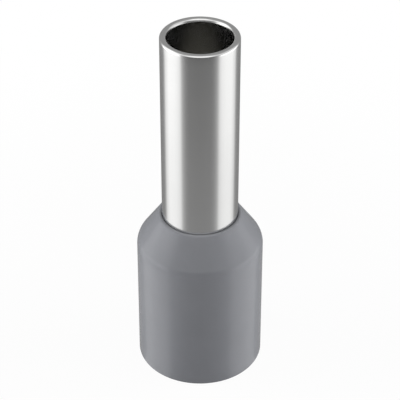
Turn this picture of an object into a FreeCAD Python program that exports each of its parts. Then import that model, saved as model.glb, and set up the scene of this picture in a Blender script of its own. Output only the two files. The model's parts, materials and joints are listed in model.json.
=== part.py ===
"""Insulated wire ferrule for a 4 square millimetre stranded conductor.

A tinned copper sleeve is held in the neck of a moulded plastic collar. The
conductor is pushed in from below: the wide collar bore takes the insulation,
and the sleeve's flared end funnels the strands up into the sleeve, which is
crimped and clamped in a terminal. The flare seats on a cone inside the
collar, so the sleeve can't be pulled out through the tip end.

Frame: millimetres, +Z along the ferrule from the wire entry to the tip. The
origin is on the axis, in the plane of the collar's rim, on which it stands.
"""

import FreeCAD, Part

import math
import os

# Sleeve: drawn copper tube, deburred at the tip and flared at the wire end
sleeve_bore_diameter = 2.8
sleeve_wall = 0.3
sleeve_exposed_length = 8.8
tip_outer_round = 0.14
tip_inner_round = 0.14
flare_half_angle = 35.0
flare_lip_round = 0.1

# Collar: moulded plastic skirt, sloping shoulder and neck
collar_bore_diameter = 4.8
collar_wall = 0.44
collar_length = 7.95
skirt_draft_angle = 0.15
shoulder_half_angle = 34.5
shoulder_round = 0.7
neck_length = 0.62
neck_mouth_round = 0.09
seat_nose_round = 0.4
seat_root_round = 0.3
entry_lead_in = 0.16
entry_lead_in_height = 0.4
rim_round = 0.05

# Fits between the two pieces
neck_gap = 0.01
flare_lip_gap = 0.1

# Share of a straight side that the round at one of its ends may take up
largest_side_share = 0.48

# Radii and angles that follow from the values above
sleeve_bore_radius = sleeve_bore_diameter / 2
sleeve_outer_radius = sleeve_bore_radius + sleeve_wall
collar_bore_radius = collar_bore_diameter / 2
collar_outer_radius = collar_bore_radius + collar_wall
neck_radius = sleeve_outer_radius + neck_gap
flare_angle = math.radians(flare_half_angle)
shoulder_angle = math.radians(shoulder_half_angle)
draft_angle = math.radians(skirt_draft_angle)

# Heights of the corners, before rounding
tip_height = collar_length + sleeve_exposed_length
shoulder_height = collar_length - (collar_outer_radius - sleeve_outer_radius) / math.tan(shoulder_angle)
flare_start_height = collar_length - neck_length


def section_face(corners):
    """Return the flat face in the XZ plane inside a closed outline.

    corners is a list of (radius, height, round): each corner is cut back by
    a tangent arc of that radius, or is left sharp where it is 0. An arc takes
    less than half of the shorter side beside it, so a thin wall limits it.
    """
    points = [FreeCAD.Vector(radius, 0, height) for radius, height, _ in corners]
    starts, middles, ends = [], [], []
    for index, corner in enumerate(points):
        back = points[index - 1] - corner
        ahead = points[(index + 1) % len(points)] - corner
        longest_setback = largest_side_share * min(back.Length, ahead.Length)
        back.normalize()
        ahead.normalize()
        half_opening = back.getAngle(ahead) / 2
        setback = min(corners[index][2] / math.tan(half_opening), longest_setback)
        to_middle = setback / math.cos(half_opening) - setback * math.tan(half_opening)
        starts.append(corner + back * setback)
        middles.append(corner + (back + ahead).normalize() * to_middle)
        ends.append(corner + ahead * setback)
    edges = []
    for index, (_, _, arc_radius) in enumerate(corners):
        if arc_radius > 0:
            arc = Part.Arc(starts[index], middles[index], ends[index])
            edges.append(arc.toShape())
        run = Part.LineSegment(ends[index], starts[(index + 1) % len(corners)])
        edges.append(run.toShape())
    return Part.Face(Part.Wire(edges))


def revolved(corners):
    """Return the solid that an outline sweeps in a full turn about the ferrule's axis."""
    axis_point = FreeCAD.Vector(0, 0, 0)
    axis_direction = FreeCAD.Vector(0, 0, 1)
    swept = section_face(corners).revolve(axis_point, axis_direction, 360)
    return Part.Solid(swept) if swept.ShapeType != "Solid" else swept


def offset_corner(distance):
    """Return radius and height of the bend's corner on a surface outside the sleeve's by distance.

    The straight tube and the flare are two parallel-sided strips that meet at
    a bend, so every surface parallel to them has its corner on the bisector.
    """
    radius = sleeve_outer_radius + distance
    height = flare_start_height + distance * math.tan(flare_angle / 2)
    return radius, height


def flare_height(corner, radius):
    """Return the height at which a cone that starts from a bend's corner reaches radius."""
    return corner[1] - (radius - corner[0]) / math.tan(flare_angle)


def make_sleeve():
    """Tube with a rounded tip and a flared wire end of the same wall."""
    outer_corner = offset_corner(0)
    inner_corner = offset_corner(-sleeve_wall)
    lip_outer_radius = collar_bore_radius - flare_lip_gap
    lip_outer_height = flare_height(outer_corner, lip_outer_radius)
    lip_inner_radius = lip_outer_radius - sleeve_wall * math.cos(flare_angle)
    lip_inner_height = lip_outer_height - sleeve_wall * math.sin(flare_angle)
    outer_bend = seat_nose_round + neck_gap
    inner_bend = outer_bend + sleeve_wall
    return revolved([
        (sleeve_outer_radius, tip_height, tip_outer_round),
        (*outer_corner, outer_bend),
        (lip_outer_radius, lip_outer_height, flare_lip_round),
        (lip_inner_radius, lip_inner_height, flare_lip_round),
        (*inner_corner, inner_bend),
        (sleeve_bore_radius, tip_height, tip_inner_round),
    ])


def make_collar():
    """Skirt, sloping shoulder and neck, with the seat for the sleeve's flare inside."""
    rim_radius = collar_outer_radius + shoulder_height * math.tan(draft_angle)
    mouth_height = collar_length - neck_gap / math.tan(shoulder_angle)
    seat_corner = offset_corner(neck_gap)
    seat_foot_height = flare_height(seat_corner, collar_bore_radius)
    return revolved([
        (rim_radius, 0, rim_round),
        (collar_outer_radius, shoulder_height, shoulder_round),
        (neck_radius, mouth_height, neck_mouth_round),
        (*seat_corner, seat_nose_round),
        (collar_bore_radius, seat_foot_height, seat_root_round),
        (collar_bore_radius, entry_lead_in_height, 0),
        (collar_bore_radius + entry_lead_in, 0, 0),
    ])


def main():
    """Write one STEP file for each piece."""
    os.makedirs("parts", exist_ok=True)
    pieces = {
        "tinned_sleeve": make_sleeve(),
        "insulating_collar": make_collar(),
    }
    for name, shape in pieces.items():
        shape.exportStep(f"parts/{name}.step")
        print(f"{name}: valid {shape.isValid()}, volume {shape.Volume:.3f} mm3")


main()
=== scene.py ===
"""Dress an insulated wire ferrule: a tinned sleeve held in a grey moulded collar.

Both pieces are bodies of revolution about Z, in metres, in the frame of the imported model. Each is turned
here from its own section, with fine arcs for its rounds, and gets the finish of the real surface.
"""

import json
import logging
import math
from dataclasses import dataclass
from enum import Enum
from typing import Mapping, Sequence, Union

import bmesh
import bpy
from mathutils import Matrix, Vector


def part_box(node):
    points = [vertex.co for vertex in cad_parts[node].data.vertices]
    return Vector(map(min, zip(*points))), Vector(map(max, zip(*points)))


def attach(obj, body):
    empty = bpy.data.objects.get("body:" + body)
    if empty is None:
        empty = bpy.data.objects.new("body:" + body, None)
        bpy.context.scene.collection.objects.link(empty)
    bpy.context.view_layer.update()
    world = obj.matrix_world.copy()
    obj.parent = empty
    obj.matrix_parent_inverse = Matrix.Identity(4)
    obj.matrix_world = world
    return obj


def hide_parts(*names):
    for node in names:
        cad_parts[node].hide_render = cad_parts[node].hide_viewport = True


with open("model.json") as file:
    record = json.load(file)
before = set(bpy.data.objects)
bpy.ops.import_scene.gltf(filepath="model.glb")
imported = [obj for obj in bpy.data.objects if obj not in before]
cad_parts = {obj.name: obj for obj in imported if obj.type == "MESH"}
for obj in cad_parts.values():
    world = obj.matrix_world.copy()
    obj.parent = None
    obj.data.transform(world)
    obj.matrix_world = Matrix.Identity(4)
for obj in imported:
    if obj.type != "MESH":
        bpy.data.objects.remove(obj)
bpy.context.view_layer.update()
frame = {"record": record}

LOG = logging.getLogger("wire_ferrule")

MM = 0.001
MICRON = 0.000001
ORIGIN = Vector((0.0, 0.0, 0.0))
ROOT_BODY = "root"

# A Mix node's sockets for colours, which share their names with those for numbers
MIX_FIRST_COLOUR = 6
MIX_SECOND_COLOUR = 7
MIX_COLOUR_RESULT = 2

Colour = tuple[float, float, float, float]
Operand = Union["Term", float]
SocketKey = Union[str, int]
Settings = Mapping[str, object]
Inputs = Mapping[SocketKey, object]


def grey(level: float) -> Colour:
    """Return the opaque neutral colour of a level."""
    return (level, level, level, 1.0)


def between(start: "Term", end: Operand, share: "Term") -> "Term":
    """Return the value that goes from start to end as share goes from 0 to 1."""
    return start + share * (end - start)


def mount_radius(name: str) -> float:
    """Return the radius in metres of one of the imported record's round mounts.

    Args:
        name: the mount's name in the record.

    Returns:
        The wall's radius.
    """
    for mount in frame["record"]["mounts"]:
        if mount["name"] == name:
            return mount["dims"]["r_mm"] * MM
    raise KeyError(name)


class Term:
    """A socket of a material, on which arithmetic adds Math nodes."""

    def __init__(self, sheet: "NodeSheet", socket: bpy.types.NodeSocket) -> None:
        """Wrap one output socket.

        Args:
            sheet: the sheet that the socket's node is on.
            socket: the output that carries the value.
        """
        self.sheet = sheet
        self.socket = socket

    def __add__(self, other: Operand) -> "Term":
        """Return self + other."""
        return self.sheet.math("ADD", self, other)

    def __radd__(self, other: Operand) -> "Term":
        """Return other + self."""
        return self.sheet.math("ADD", other, self)

    def __sub__(self, other: Operand) -> "Term":
        """Return self - other."""
        return self.sheet.math("SUBTRACT", self, other)

    def __rsub__(self, other: Operand) -> "Term":
        """Return other - self."""
        return self.sheet.math("SUBTRACT", other, self)

    def __mul__(self, other: Operand) -> "Term":
        """Return self * other."""
        return self.sheet.math("MULTIPLY", self, other)

    def __rmul__(self, other: Operand) -> "Term":
        """Return other * self."""
        return self.sheet.math("MULTIPLY", other, self)

    def __truediv__(self, other: Operand) -> "Term":
        """Return self / other."""
        return self.sheet.math("DIVIDE", self, other)

    def __rtruediv__(self, other: Operand) -> "Term":
        """Return other / self."""
        return self.sheet.math("DIVIDE", other, self)


class Passage(Enum):
    """How a ramp goes from one end to the other."""

    SMOOTH = "SMOOTHSTEP"
    STRAIGHT = "LINEAR"


@dataclass(frozen=True)
class Span:
    """Where a ramp's passage starts and where it ends."""

    start: float
    end: float


class NodeSheet:
    """The node tree of one material or of the world, empty at first."""

    def __init__(self, owner: Union[bpy.types.Material, bpy.types.World]) -> None:
        """Clear the owner's tree.

        Args:
            owner: the material or world to write on.
        """
        owner.use_nodes = True
        self.tree = owner.node_tree
        self.tree.nodes.clear()

    def node(self, kind: str, settings: Settings, inputs: Inputs) -> bpy.types.Node:
        """Add a node.

        Args:
            kind: the node's type.
            settings: its own settings, set first. "stops" is a colour ramp's list of (place, level).
            inputs: the value or the Term of each socket that differs from its default.

        Returns:
            The node.
        """
        made = self.tree.nodes.new(kind)
        for name, value in settings.items():
            if name == "stops":
                self._set_stops(made.color_ramp, value)
            else:
                setattr(made, name, value)
        for name, value in inputs.items():
            if isinstance(value, Term):
                self.tree.links.new(value.socket, made.inputs[name])
            else:
                made.inputs[name].default_value = value
        return made

    def term(self, kind: str, settings: Settings, inputs: Inputs, output: SocketKey = 0) -> Term:
        """Add a node and return one of its outputs as a Term."""
        return Term(self, self.node(kind, settings, inputs).outputs[output])

    def math(self, operation: str, *operands: Operand) -> Term:
        """Return the result of a Math node."""
        return self.term("ShaderNodeMath", {"operation": operation}, dict(enumerate(operands)))

    @staticmethod
    def _set_stops(ramp: bpy.types.ColorRamp, stops: Sequence[tuple[float, float]]) -> None:
        """Give a colour ramp its grey stops, joined by smooth curves.

        Args:
            ramp: the colour ramp.
            stops: the place and the level of each stop, in rising order.
        """
        ramp.interpolation = "EASE"
        while len(ramp.elements) < len(stops):
            ramp.elements.new(1.0)
        for element, (place, level) in zip(ramp.elements, stops):
            element.position = place
            element.color = grey(level)

    def position(self) -> Term:
        """Return the Object coordinates."""
        return self.term("ShaderNodeTexCoord", {}, {}, "Object")

    def noise(self, grains_per_metre: tuple[float, float, float], detail: float) -> Term:
        """Return a noise between 0 and 1.

        Args:
            grains_per_metre: how many grains lie on a metre along X, Y and Z.
            detail: how many finer octaves are added.

        Returns:
            The noise's factor.
        """
        place = self.term("ShaderNodeMapping", {}, {"Vector": self.position(), "Scale": grains_per_metre})
        return self.term("ShaderNodeTexNoise", {}, {"Vector": place, "Scale": 1.0, "Detail": detail}, "Fac")

    def axes(self) -> tuple[Term, Term, Term]:
        """Return the Object coordinates X, Y and Z."""
        parts = self.node("ShaderNodeSeparateXYZ", {}, {"Vector": self.position()})
        return Term(self, parts.outputs["X"]), Term(self, parts.outputs["Y"]), Term(self, parts.outputs["Z"])

    def from_axis(self) -> Term:
        """Return how far the surface lies from the ferrule's axis.

        Returns:
            The length of the Object coordinates without their height.
        """
        operands = {0: self.position(), 1: (1, 1, 0)}
        flat = self.term("ShaderNodeVectorMath", {"operation": "MULTIPLY"}, operands)
        return self.term("ShaderNodeVectorMath", {"operation": "LENGTH"}, {0: flat}, "Value")

    def shade(self, amount: Term, dark: Union[Colour, Term], light: Union[Colour, Term]) -> Term:
        """Return the colour that goes from dark to light as amount goes from 0 to 1."""
        inputs = {"Factor": amount, MIX_FIRST_COLOUR: dark, MIX_SECOND_COLOUR: light}
        return self.term("ShaderNodeMix", {"data_type": "RGBA"}, inputs, MIX_COLOUR_RESULT)

    def ramp(self, value: Term, span: Span, first: float, last: float,
             passage: Passage = Passage.SMOOTH) -> Term:
        """Return a level that changes with a value.

        Args:
            value: the value.
            span: the values between which the level changes.
            first: the level at the span's start and before it.
            last: the level at the span's end and past it.
            passage: how the level goes from first to last.

        Returns:
            The level.
        """
        ends = {"From Min": span.start, "From Max": span.end, "To Min": first, "To Max": last}
        settings = {"interpolation_type": passage.value}
        return self.term("ShaderNodeMapRange", settings, {"Value": value, **ends}, "Result")

    def level(self, colour: Term) -> Term:
        """Return the brightness of a grey colour as a number."""
        return self.term("ShaderNodeRGBToBW", {}, {"Color": colour}, "Val")

    def background_rays(self) -> Term:
        """Return which rays see a background.

        Returns:
            1 for the rays of the camera, of gloss and of glass, and 0 for the others.
        """
        rays = self.node("ShaderNodeLightPath", {}, {})
        camera = Term(self, rays.outputs["Is Camera Ray"])
        glossy = Term(self, rays.outputs["Is Glossy Ray"])
        clear = Term(self, rays.outputs["Is Transmission Ray"])
        return self.term("ShaderNodeClamp", {}, {"Value": camera + glossy + clear}, "Result")

    def mixed(self, amount: Term, first: Term, second: Term) -> Term:
        """Return the shader that goes from first to second as amount goes from 0 to 1."""
        return self.term("ShaderNodeMixShader", {}, {0: amount, 1: first, 2: second})


@dataclass(frozen=True)
class TinPlating:
    """Bright tin on drawn copper: mirror-like but soft, with fine lines along the draw."""

    light: Colour = (0.93, 0.93, 0.925, 1.0)
    dark: Colour = (0.86, 0.86, 0.85, 1.0)
    roughness: float = 0.16
    roughness_swing: float = 0.06
    lines_per_metre: float = 24000.0
    line_length: float = 2.5 * MM
    line_depth: float = 0.12 * MICRON
    line_detail: float = 3.0
    line_share: float = 0.5
    clouds_per_metre: float = 900.0
    cloud_detail: float = 2.0

    def material(self) -> bpy.types.Material:
        """Return the plating's material.

        Returns:
            The material, named as the record's slot.
        """
        made = bpy.data.materials.new("tin_plating")
        sheet = NodeSheet(made)
        line_spacing = (self.lines_per_metre, self.lines_per_metre, 1.0 / self.line_length)
        lines = sheet.noise(line_spacing, self.line_detail)
        clouds = sheet.noise((self.clouds_per_metre,) * 3, self.cloud_detail)
        uneven = self.line_share * lines + (1.0 - self.line_share) * clouds
        relief = {"Height": lines, "Distance": self.line_depth, "Strength": 1.0}
        skin = sheet.term("ShaderNodeBsdfPrincipled", {}, {
            "Base Color": sheet.shade(uneven, self.dark, self.light),
            "Metallic": 1.0,
            "Roughness": self.roughness + (uneven - 0.5) * self.roughness_swing,
            "Normal": sheet.term("ShaderNodeBump", {}, relief),
        })
        sheet.node("ShaderNodeOutputMaterial", {}, {"Surface": skin})
        return made


@dataclass(frozen=True)
class MouldedPlastic:
    """Polypropylene coloured through, with the fine grain of the mould and a soft sheen.

    At the mouth of the neck it is paler in a narrow ring: a painted highlight along the mouth's edge.
    """

    light: Colour = (0.234, 0.24, 0.259, 1.0)
    dark: Colour = (0.202, 0.208, 0.225, 1.0)
    # The colour of the painted highlight, paler than the plastic, in the ring at the mouth of the neck
    mouth_highlight: Colour = (0.28, 0.287, 0.306, 1.0)
    roughness: float = 0.12
    roughness_swing: float = 0.04
    index: float = 1.49
    grains_per_metre: float = 26000.0
    grain_depth: float = 0.5 * MICRON
    grain_detail: float = 2.0
    grain_share: float = 0.3
    clouds_per_metre: float = 700.0
    cloud_detail: float = 3.0
    # Where the painted highlight lies: its inner and outer edges from the axis, and its foot in height
    ring_inside: Span = Span(1.75 * MM, 1.8 * MM)
    ring_outside: Span = Span(1.83 * MM, 1.88 * MM)
    ring_foot: Span = Span(7.5 * MM, 7.55 * MM)

    def material(self) -> bpy.types.Material:
        """Return the plastic's material.

        Returns:
            The material, named as the record's slot.
        """
        made = bpy.data.materials.new("grey_plastic")
        sheet = NodeSheet(made)
        grain = sheet.noise((self.grains_per_metre,) * 3, self.grain_detail)
        clouds = sheet.noise((self.clouds_per_metre,) * 3, self.cloud_detail)
        uneven = self.grain_share * grain + (1.0 - self.grain_share) * clouds
        coloured = sheet.shade(uneven, self.dark, self.light)
        relief = {"Height": grain, "Distance": self.grain_depth, "Strength": 1.0}
        skin = sheet.term("ShaderNodeBsdfPrincipled", {}, {
            # The base colour carries a painted highlight: a paler ring at the mouth of the neck
            "Base Color": sheet.shade(self._mouth_highlight_share(sheet), coloured, self.mouth_highlight),
            "Roughness": self.roughness + (grain - 0.5) * self.roughness_swing,
            "IOR": self.index,
            "Normal": sheet.term("ShaderNodeBump", {}, relief),
        })
        sheet.node("ShaderNodeOutputMaterial", {}, {"Surface": skin})
        return made

    def _mouth_highlight_share(self, sheet: NodeSheet) -> Term:
        """Return where the painted highlight lies, the paler ring at the mouth of the neck.

        Args:
            sheet: the material's sheet.

        Returns:
            1 in the ring at the mouth of the neck, and 0 elsewhere.
        """
        reach = sheet.from_axis()
        height = sheet.axes()[2]
        return (sheet.ramp(reach, self.ring_inside, 0.0, 1.0)
                * sheet.ramp(reach, self.ring_outside, 1.0, 0.0)
                * sheet.ramp(height, self.ring_foot, 0.0, 1.0))


@dataclass(frozen=True)
class Corner:
    """A corner of a section, and the round that takes its place: all in metres."""

    radius: float
    height: float
    rounding: float = 0.0

    @property
    def point(self) -> Vector:
        """Return the corner's place in the XZ plane."""
        return Vector((self.radius, 0.0, self.height))


@dataclass(frozen=True)
class Arc:
    """The round of a corner in the XZ plane. Its turn about Y is 0 where the corner is sharp."""

    start: Vector
    end: Vector
    centre: Vector
    turn: float


@dataclass(frozen=True)
class TurnedSection:
    """A closed section that is turned about Z into a solid's skin."""

    corners: Sequence[Corner]
    arc_steps: int = 10
    side_step: float = 0.35 * MM
    turn_steps: int = 192
    merge_distance: float = 0.5 * MICRON

    def turned(self, name: str) -> bpy.types.Object:
        """Turn the section and return it as a smooth mesh object.

        Args:
            name: the object's name.

        Returns:
            The object, at the origin, linked to the scene.
        """
        skin = bmesh.new()
        self._outline(skin)
        outline = skin.verts[:] + skin.edges[:]
        bmesh.ops.spin(skin, geom=outline, cent=ORIGIN, axis=(0, 0, 1), angle=math.tau, steps=self.turn_steps,
                       use_merge=True)
        bmesh.ops.remove_doubles(skin, verts=skin.verts[:], dist=self.merge_distance)
        bmesh.ops.recalc_face_normals(skin, faces=skin.faces[:])
        for face in skin.faces:
            face.smooth = True
        mesh = bpy.data.meshes.new(name)
        skin.to_mesh(mesh)
        skin.free()
        made = bpy.data.objects.new(name, mesh)
        bpy.context.scene.collection.objects.link(made)
        made.modifiers.new("even_normals", "WEIGHTED_NORMAL")
        return made

    def _outline(self, skin: bmesh.types.BMesh) -> None:
        """Draw the section's closed outline in the XZ plane.

        Args:
            skin: the empty mesh that is drawn in.
        """
        arcs = [self._arc(index) for index in range(len(self.corners))]
        pen = skin.verts.new(arcs[0].start)
        for arc, following in zip(arcs, arcs[1:] + arcs[:1]):
            if arc.turn:
                pen = self._draw(skin, pen, self.arc_steps, centre=arc.centre, angle=arc.turn)
            side = following.start - arc.end
            steps = max(1, round(side.length / self.side_step))
            pen = self._draw(skin, pen, steps, shift=side / steps)
        bmesh.ops.remove_doubles(skin, verts=skin.verts[:], dist=self.merge_distance)

    @staticmethod
    def _draw(skin: bmesh.types.BMesh, pen: bmesh.types.BMVert, steps: int, centre: Vector = ORIGIN,
              angle: float = 0.0, shift: Vector = ORIGIN) -> bmesh.types.BMVert:
        """Draw on from the last vertex, in the XZ plane: an arc, or a straight side.

        Args:
            skin: the mesh that is drawn in.
            pen: the last vertex.
            steps: how many edges are drawn.
            centre: the arc's centre.
            angle: the arc's whole turn, or 0 for a straight side.
            shift: one step of a straight side.

        Returns:
            The new last vertex.
        """
        drawn = bmesh.ops.spin(skin, geom=[pen], cent=centre, axis=(0, 1, 0), dvec=shift, angle=angle,
                               steps=steps)
        return drawn["geom_last"][0]

    def _arc(self, index: int) -> Arc:
        """Return the tangent arc of one corner.

        Args:
            index: the corner's place in the section.

        Returns:
            The arc, which is a point where the corner is sharp.
        """
        corner = self.corners[index]
        back = (self.corners[index - 1].point - corner.point).normalized()
        ahead = (self.corners[(index + 1) % len(self.corners)].point - corner.point).normalized()
        half_opening = back.angle(ahead) / 2
        setback = corner.rounding / math.tan(half_opening)
        centre = corner.point + (back + ahead).normalized() * corner.rounding / math.sin(half_opening)
        turn = math.copysign(math.pi - 2 * half_opening, ahead.cross(back).y) if corner.rounding else 0.0
        return Arc(corner.point + back * setback, corner.point + ahead * setback, centre, turn)


@dataclass(frozen=True)
class Bend:
    """The bend where the sleeve's tube opens into its flare, as the surfaces parallel to it have it."""

    tube_radius: float
    height: float
    half_angle: float
    nose_round: float

    def corner(self, distance: float) -> Corner:
        """Return the bend's corner on the surface that lies a distance outside the tube's."""
        rise = distance * math.tan(self.half_angle / 2)
        return Corner(self.tube_radius + distance, self.height + rise, self.nose_round - distance)

    def cone_height(self, distance: float, radius: float) -> float:
        """Return the height at which that surface's cone reaches a radius."""
        corner = self.corner(distance)
        return corner.height - (radius - corner.radius) / math.tan(self.half_angle)


@dataclass(frozen=True)
class TinnedSleeve:
    """The metal sleeve: a tube with a rounded, deburred tip and a flared wire end."""

    bend: Bend
    bore_radius: float
    tip_height: float
    lip_radius: float
    lip_round: float = 0.1 * MM
    tip_outer_round: float = 0.12 * MM
    tip_inner_round: float = 0.12 * MM
    deburr_width: float = 0.053 * MM
    deburr_height: float = 0.138 * MM
    deburr_foot_round: float = 0.1 * MM

    def section(self) -> list[Corner]:
        """Return the wall's section.

        Returns:
            Its corners, from the tip's outside down to the flare and up the bore to the tip's deburred edge.
        """
        wall = self.bend.tube_radius - self.bore_radius
        lean = self.bend.half_angle
        lip_height = self.bend.cone_height(0.0, self.lip_radius)
        inner_lip_radius = self.lip_radius - wall * math.cos(lean)
        inner_lip_height = lip_height - wall * math.sin(lean)
        return [
            Corner(self.bend.tube_radius, self.tip_height, self.tip_outer_round),
            self.bend.corner(0.0),
            Corner(self.lip_radius, lip_height, self.lip_round),
            Corner(inner_lip_radius, inner_lip_height, self.lip_round),
            self.bend.corner(-wall),
            Corner(self.bore_radius, self.tip_height - self.deburr_height, self.deburr_foot_round),
            Corner(self.bore_radius + self.deburr_width, self.tip_height, self.tip_inner_round),
        ]

    def build(self) -> bpy.types.Object:
        """Turn the sleeve.

        Returns:
            The sleeve, riding on the body in place of its solid.
        """
        made = TurnedSection(self.section()).turned("drawn_sleeve")
        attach(made, ROOT_BODY)
        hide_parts("tinned_sleeve")
        return made

    def dress(self, made: bpy.types.Object, finish: TinPlating) -> None:
        """Give the sleeve its plating."""
        made.data.materials.append(finish.material())


@dataclass(frozen=True)
class InsulatingCollar:
    """The plastic collar: skirt, sloping shoulder, neck, and the seat of the sleeve's flare inside."""

    bend: Bend
    bore_radius: float
    length: float
    neck_gap: float
    wall: float = 0.44 * MM
    draft_angle: float = math.radians(0.15)
    shoulder_half_angle: float = math.radians(34.5)
    shoulder_round: float = 0.7 * MM
    mouth_drop: float = 0.22 * MM
    mouth_round: float = 0.12 * MM
    neck_round: float = 0.03 * MM
    seat_root_round: float = 0.3 * MM
    lead_in: float = 0.16 * MM
    lead_in_height: float = 0.4 * MM
    rim_round: float = 0.05 * MM

    def section(self) -> list[Corner]:
        """Return the wall's section.

        Returns:
            Its corners, from the outside of the rim up to the mouth of the neck and back down the bore.
        """
        outer_radius = self.bore_radius + self.wall
        slope = math.tan(self.shoulder_half_angle)
        shoulder_height = self.length - (outer_radius - self.bend.tube_radius) / slope
        rim_radius = outer_radius + shoulder_height * math.tan(self.draft_angle)
        mouth_height = self.length - self.mouth_drop
        mouth_radius = self.bend.tube_radius + self.mouth_drop * slope
        seat_foot_height = self.bend.cone_height(self.neck_gap, self.bore_radius)
        return [
            Corner(rim_radius, 0.0, self.rim_round),
            Corner(outer_radius, shoulder_height, self.shoulder_round),
            Corner(mouth_radius, mouth_height, self.mouth_round),
            Corner(self.bend.tube_radius + self.neck_gap, mouth_height, self.neck_round),
            self.bend.corner(self.neck_gap),
            Corner(self.bore_radius, seat_foot_height, self.seat_root_round),
            Corner(self.bore_radius, self.lead_in_height),
            Corner(self.bore_radius + self.lead_in, 0.0),
        ]

    def build(self) -> bpy.types.Object:
        """Turn the collar.

        Returns:
            The collar, riding on the body in place of its solid.
        """
        made = TurnedSection(self.section()).turned("moulded_collar")
        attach(made, ROOT_BODY)
        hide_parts("insulating_collar")
        return made

    def dress(self, made: bpy.types.Object, finish: MouldedPlastic) -> None:
        """Give the collar its plastic."""
        made.data.materials.append(finish.material())


class Seen(Enum):
    """Which rays see a piece of the studio."""

    BY_ALL = "all"
    BY_REFLECTIONS = "reflections"


def stage_piece(name: str, shape: bmesh.types.BMesh, material: bpy.types.Material, seen: Seen) -> None:
    """Put a piece of the studio in the scene, marked as no part of the ferrule.

    Args:
        name: the object's name.
        shape: its mesh, which is freed.
        material: its material.
        seen: the rays that see it.
    """
    mesh = bpy.data.meshes.new(name)
    shape.to_mesh(mesh)
    shape.free()
    mesh.materials.append(material)
    made = bpy.data.objects.new(name, mesh)
    bpy.context.scene.collection.objects.link(made)
    if seen is Seen.BY_REFLECTIONS:
        made.visible_camera = False
        made.visible_diffuse = False
        made.visible_transmission = False
        made.visible_volume_scatter = False
        made.visible_shadow = False


@dataclass(frozen=True)
class WhiteFloor:
    """The plain white floor, and the white beyond it.

    The floor is white by itself to what sees a background. Near the ferrule a small share of it is a matt
    that takes the ferrule's shadow.
    """

    half_size: float = 2.0
    drop: float = 0.01 * MM
    colour: Colour = grey(0.82)
    own_white: float = 0.95
    shadow_fade: Span = Span(8.0 * MM, 30.0 * MM)
    sky_light: float = 0.26

    def build(self) -> None:
        """Lay the floor and set the world."""
        shape = bmesh.new()
        bmesh.ops.create_grid(shape, x_segments=1, y_segments=1, size=self.half_size)
        bmesh.ops.translate(shape, verts=shape.verts[:], vec=(0, 0, -self.drop))
        stage_piece("floor", shape, self.floor_material(), Seen.BY_ALL)
        bpy.context.scene.world = self.world()

    def floor_material(self) -> bpy.types.Material:
        """Return the floor's material.

        Returns:
            A matt white, with white of its own for what sees a background.
        """
        made = bpy.data.materials.new("white_floor")
        sheet = NodeSheet(made)
        matt = sheet.term("ShaderNodeBsdfDiffuse", {}, {"Color": self.colour})
        white = sheet.term("ShaderNodeEmission", {}, {"Color": grey(1.0), "Strength": 1.0})
        white_share = sheet.ramp(sheet.from_axis(), self.shadow_fade, self.own_white, 1.0)
        surface = sheet.mixed(sheet.background_rays() * white_share, matt, white)
        sheet.node("ShaderNodeOutputMaterial", {}, {"Surface": surface})
        return made

    def world(self) -> bpy.types.World:
        """Return the world.

        Returns:
            An even grey light, which is white to what sees a background.
        """
        made = bpy.data.worlds.new("white_room")
        sheet = NodeSheet(made)
        light = sheet.term("ShaderNodeBackground", {}, {"Color": grey(self.sky_light), "Strength": 1.0})
        white = sheet.term("ShaderNodeBackground", {}, {"Color": grey(1.0), "Strength": 1.0})
        surface = sheet.mixed(sheet.background_rays(), light, white)
        sheet.node("ShaderNodeOutputWorld", {}, {"Surface": surface})
        return made


@dataclass(frozen=True)
class TentPlace:
    """Where a point of the light tent lies, seen from the ferrule.

    reach is its distance from the axis. rise is its height and frontness its distance in front, both as
    shares of the tent's radius. rightness is 1 at the right and -1 at the left. way is how far round it lies,
    from 0 in front to 1 behind.
    """

    reach: Term
    rise: Term
    frontness: Term
    rightness: Term
    way: Term


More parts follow.
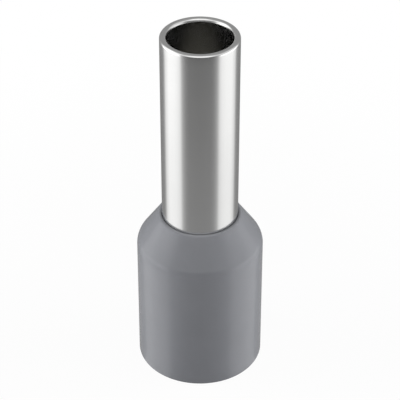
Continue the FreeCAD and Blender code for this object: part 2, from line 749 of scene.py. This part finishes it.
@dataclass(frozen=True)
class LightTent:
    """The soft tent round the ferrule, which only its gloss reflects.

    It is white at the sides and in a panel high in front, and grey elsewhere. Its own floor, just above the
    real one, carries the walls' pattern on. Near the ferrule the pattern is turned to the front on it, so
    that the round skirt shows it as if it were far away. The white has a brighter ring far out on the floor,
    which the shoulder's edges show as light lines, and it is a little stronger at the left than at the right.
    """

    radius: float = 300.0 * MM
    segments: int = 64
    rings: int = 32
    floor_gap: float = 0.03 * MM
    skirt_radius: float = 2.6 * MM
    spread_power: float = 1.9

    # The share of white in the walls, from the front, 0, to the back, 1
    side_stops: tuple[tuple[float, float], ...] = (
        (0.0, 0.0), (0.17, 0.01), (0.22, 0.06), (0.27, 0.21), (0.33, 0.82), (0.385, 0.94), (0.44, 1.0),
        (0.55, 1.02), (0.64, 0.73), (0.685, 0.13), (0.745, 0.0),
    )

    # Levels of white
    white: float = 1.03
    floor_white: float = 0.93
    upper_white: float = 0.7
    near_dim: float = 0.95
    ring_gain: float = 2.0
    horizon_gain: float = 1.3
    left_gain: float = 0.03
    left_wall_gain: float = 0.25
    panel_white: float = 1.1
    panel_foot_share: float = 0.5
    panel_side_share: float = 0.4

    # Levels of grey
    front_grey: float = 0.11
    front_floor_grey: float = 0.24
    near_front_dim: float = 0.4
    back_grey: float = 0.285
    back_floor_grey: float = 0.24
    near_back_grey: float = 0.31
    top_grey: float = 0.34

    # Where the levels change on the floor, from the axis outwards
    near_end: Span = Span(4.0 * MM, 10.0 * MM)
    floor_white_end: Span = Span(13.0 * MM, 27.0 * MM)
    ring_start: Span = Span(37.0 * MM, 45.0 * MM)
    ring_end: Span = Span(60.0 * MM, 120.0 * MM)
    front_floor_end: Span = Span(10.0 * MM, 46.0 * MM)
    near_back_end: Span = Span(7.0 * MM, 12.0 * MM)
    back_floor_end: Span = Span(30.0 * MM, 60.0 * MM)

    # Where the levels change with the height, as shares of the radius
    left_wall_foot: Span = Span(0.0, 0.1)
    upper_start: Span = Span(0.15, 0.25)
    panel_foot: Span = Span(0.28, 0.36)
    panel_start: Span = Span(0.52, 0.6)
    roof_start: Span = Span(0.7, 0.9)

    # Where they change round the ferrule, and for the panel also towards the front
    behind_start: Span = Span(0.45, 0.6)
    panel_sides: Span = Span(0.15, 0.34)
    panel_front: Span = Span(0.16, 0.32)

    def build(self) -> None:
        """Pitch the tent, closed by a floor of its own just above the real one."""
        shape = bmesh.new()
        bmesh.ops.create_uvsphere(shape, u_segments=self.segments, v_segments=self.rings, radius=self.radius)
        everything = shape.verts[:] + shape.edges[:] + shape.faces[:]
        cut = bmesh.ops.bisect_plane(shape, geom=everything, plane_co=(0, 0, self.floor_gap),
                                     plane_no=(0, 0, 1), clear_inner=True)
        rim = [part for part in cut["geom_cut"] if isinstance(part, bmesh.types.BMEdge)]
        bmesh.ops.contextual_create(shape, geom=rim)
        stage_piece("light_tent", shape, self.material(), Seen.BY_REFLECTIONS)

    def material(self) -> bpy.types.Material:
        """Return the tent's glow.

        Returns:
            The material, which is left out of the search for lamps because only reflections see it.
        """
        made = bpy.data.materials.new("light_tent")
        sheet = NodeSheet(made)
        place = self._place(sheet)
        side = sheet.term("ShaderNodeValToRGB", {"stops": self.side_stops}, {"Fac": place.way})
        walls = between(self._grey(sheet, place), self._white(sheet, place), sheet.level(side))
        roofed = between(walls, self.top_grey, sheet.ramp(place.rise, self.roof_start, 0.0, 1.0))
        glow = between(roofed, self.panel_white, self._panel_share(sheet, place))
        light = sheet.term("ShaderNodeEmission", {}, {"Color": glow, "Strength": 1.0})
        sheet.node("ShaderNodeOutputMaterial", {}, {"Surface": light})
        made.cycles.emission_sampling = "NONE"
        return made

    def _place(self, sheet: NodeSheet) -> TentPlace:
        """Return where a point of the tent lies.

        Args:
            sheet: the material's sheet.

        Returns:
            The place. Near the skirt its way runs ahead of its bearing, by up to two times, because the far
            point that the skirt would reflect in its stead lies that much further round.
        """
        right, back, up = sheet.axes()
        reach = sheet.from_axis()
        bearing = sheet.math("ABSOLUTE", sheet.math("ARCTAN2", right, 0.0 - back))
        spread = sheet.math("POWER", self.skirt_radius / reach, self.spread_power)
        return TentPlace(
            reach=reach,
            rise=up / self.radius,
            frontness=0.0 - back / self.radius,
            rightness=right / reach,
            way=bearing / math.pi * (1.0 + spread),
        )

    def _white(self, sheet: NodeSheet, place: TentPlace) -> Term:
        """Return the level of the white.

        Args:
            sheet: the material's sheet.
            place: where the point lies.

        Returns:
            The level, from the skirt's near floor out to the ring, the horizon and up the walls.
        """
        even = (sheet.ramp(place.reach, self.floor_white_end, self.floor_white, self.white)
                * sheet.ramp(place.reach, self.near_end, self.near_dim, 1.0)
                * sheet.ramp(place.rise, self.upper_start, 1.0, self.upper_white)
                * sheet.ramp(place.reach, self.ring_start, 1.0, self.ring_gain)
                * sheet.ramp(place.reach, self.ring_end, 1.0, self.horizon_gain / self.ring_gain))
        tilt = sheet.ramp(place.rise, self.left_wall_foot, self.left_gain, self.left_wall_gain)
        return even - tilt * place.rightness

    def _grey(self, sheet: NodeSheet, place: TentPlace) -> Term:
        """Return the level of the grey.

        Args:
            sheet: the material's sheet.
            place: where the point lies.

        Returns:
            The level, in front and behind.
        """
        front = (sheet.ramp(place.reach, self.front_floor_end, self.front_floor_grey, self.front_grey,
                            Passage.STRAIGHT)
                 * sheet.ramp(place.reach, self.near_end, self.near_front_dim, 1.0))
        wall_step = self.back_grey - self.back_floor_grey
        back = (sheet.ramp(place.reach, self.near_back_end, self.near_back_grey, self.back_floor_grey)
                + sheet.ramp(place.reach, self.back_floor_end, 0.0, wall_step))
        return between(front, back, sheet.ramp(place.way, self.behind_start, 0.0, 1.0))

    def _panel_share(self, sheet: NodeSheet, place: TentPlace) -> Term:
        """Return how much of the white panel a point shows.

        Args:
            sheet: the material's sheet.
            place: where the point lies.

        Returns:
            1 on the panel, less on its foot and towards its sides, and 0 elsewhere.
        """
        foot = sheet.ramp(place.rise, self.panel_foot, 0.0, self.panel_foot_share)
        upper = sheet.ramp(place.rise, self.panel_start, 0.0, 1.0 - self.panel_foot_share)
        return ((foot + upper)
                * sheet.ramp(place.frontness, self.panel_front, 0.0, 1.0)
                * sheet.ramp(place.way, self.panel_sides, 1.0, self.panel_side_share))


@dataclass(frozen=True)
class SoftBox:
    """A square soft light that looks at the ferrule. It lights surfaces and shows in no reflection."""

    name: str
    bearing: float
    elevation: float
    watts: float
    distance: float = 80.0 * MM
    size: float = 60.0 * MM

    def build(self, target: Vector) -> None:
        """Hang the light.

        Args:
            target: the point that it looks at.
        """
        lamp = bpy.data.lights.new(self.name, "AREA")
        lamp.shape = "SQUARE"
        lamp.size = self.size
        lamp.energy = self.watts
        made = bpy.data.objects.new(self.name, lamp)
        away = math.cos(self.elevation) * self.distance
        offset = Vector((away * math.sin(self.bearing), -away * math.cos(self.bearing),
                         math.sin(self.elevation) * self.distance))
        made.location = target + offset
        made.rotation_euler = (-offset).to_track_quat("-Z", "Y").to_euler()
        made.visible_camera = False
        made.visible_glossy = False
        bpy.context.scene.collection.objects.link(made)


@dataclass(frozen=True)
class BoreGlow:
    """The faint warm light that comes in through the wire end and shows deep in the sleeve's bore."""

    bore_radius: float
    height: float = 8.4 * MM
    side_gap: float = 0.1 * MM
    watts: float = 1.12e-6
    colour: tuple[float, float, float] = (1.0, 0.96, 0.82)

    def build(self) -> None:
        """Lay a disc of light across the bore, facing up."""
        lamp = bpy.data.lights.new("bore_glow", "AREA")
        lamp.shape = "DISK"
        lamp.size = 2.0 * (self.bore_radius - self.side_gap)
        lamp.energy = self.watts
        lamp.color = self.colour
        made = bpy.data.objects.new("bore_glow", lamp)
        made.location = (0.0, 0.0, self.height)
        made.rotation_euler = (math.pi, 0.0, 0.0)
        made.visible_camera = False
        bpy.context.scene.collection.objects.link(made)


@dataclass(frozen=True)
class Viewpoint:
    """The camera, in front of the ferrule and above it, looking down on it."""

    away: float = 57.585 * MM
    height: float = 49.8 * MM
    pitch: float = math.radians(35.73)
    lens: float = 143.79
    sensor: float = 36.0
    nearest: float = 1.0 * MM

    def build(self) -> None:
        """Set up the camera."""
        camera = bpy.data.cameras.new("view")
        camera.lens = self.lens
        camera.sensor_width = self.sensor
        camera.clip_start = self.nearest
        made = bpy.data.objects.new("view", camera)
        made.location = (0.0, -self.away, self.height)
        made.rotation_euler = (math.pi / 2 - self.pitch, 0.0, 0.0)
        bpy.context.scene.collection.objects.link(made)
        bpy.context.scene.camera = made


@dataclass(frozen=True)
class Studio:
    """The floor, the light tent, the lamps and the camera round the ferrule."""

    aim_height: float = 8.0 * MM
    side_bearing: float = math.radians(90.0)
    side_elevation: float = math.radians(10.0)
    left_watts: float = 0.073
    right_watts: float = 0.070
    front_bearing: float = 0.0
    front_elevation: float = math.radians(50.0)
    front_watts: float = 0.012

    def build(self, bore_radius: float) -> None:
        """Set the studio up.

        Args:
            bore_radius: the radius of the sleeve's bore.
        """
        WhiteFloor().build()
        LightTent().build()
        aim = Vector((0.0, 0.0, self.aim_height))
        SoftBox("left_softbox", -self.side_bearing, self.side_elevation, self.left_watts).build(aim)
        SoftBox("right_softbox", self.side_bearing, self.side_elevation, self.right_watts).build(aim)
        SoftBox("front_softbox", self.front_bearing, self.front_elevation, self.front_watts).build(aim)
        BoreGlow(bore_radius).build()
        Viewpoint().build()


def report(made: bpy.types.Object) -> None:
    """Log a piece's name and its count of faces."""
    LOG.info("%s: %d faces", made.name, len(made.data.polygons))


def main() -> None:
    """Build and dress the ferrule, then the studio round it."""
    logging.basicConfig(level=logging.INFO, format="%(message)s")
    bpy.context.scene.view_settings.view_transform = "Standard"

    # Sizes that the two pieces share
    tube_radius = mount_radius("sleeve_barrel")
    sleeve_bore = mount_radius("conductor_bore")
    collar_bore = mount_radius("wire_entry")
    _, highest_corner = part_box("tinned_sleeve")
    collar_length = 7.95 * MM
    neck_length = 0.62 * MM
    neck_gap = 0.01 * MM
    seat_nose_round = 0.4 * MM
    flare_half_angle = math.radians(35.0)
    flare_lip_gap = 0.1 * MM

    bend = Bend(tube_radius, collar_length - neck_length, flare_half_angle, seat_nose_round + neck_gap)
    sleeve = TinnedSleeve(bend, sleeve_bore, highest_corner[2], collar_bore - flare_lip_gap)
    collar = InsulatingCollar(bend, collar_bore, collar_length, neck_gap)
    tube = sleeve.build()
    sleeve.dress(tube, TinPlating())
    report(tube)
    skirt = collar.build()
    collar.dress(skirt, MouldedPlastic())
    report(skirt)
    Studio().build(sleeve_bore)


if __name__ == "__main__":
    main()
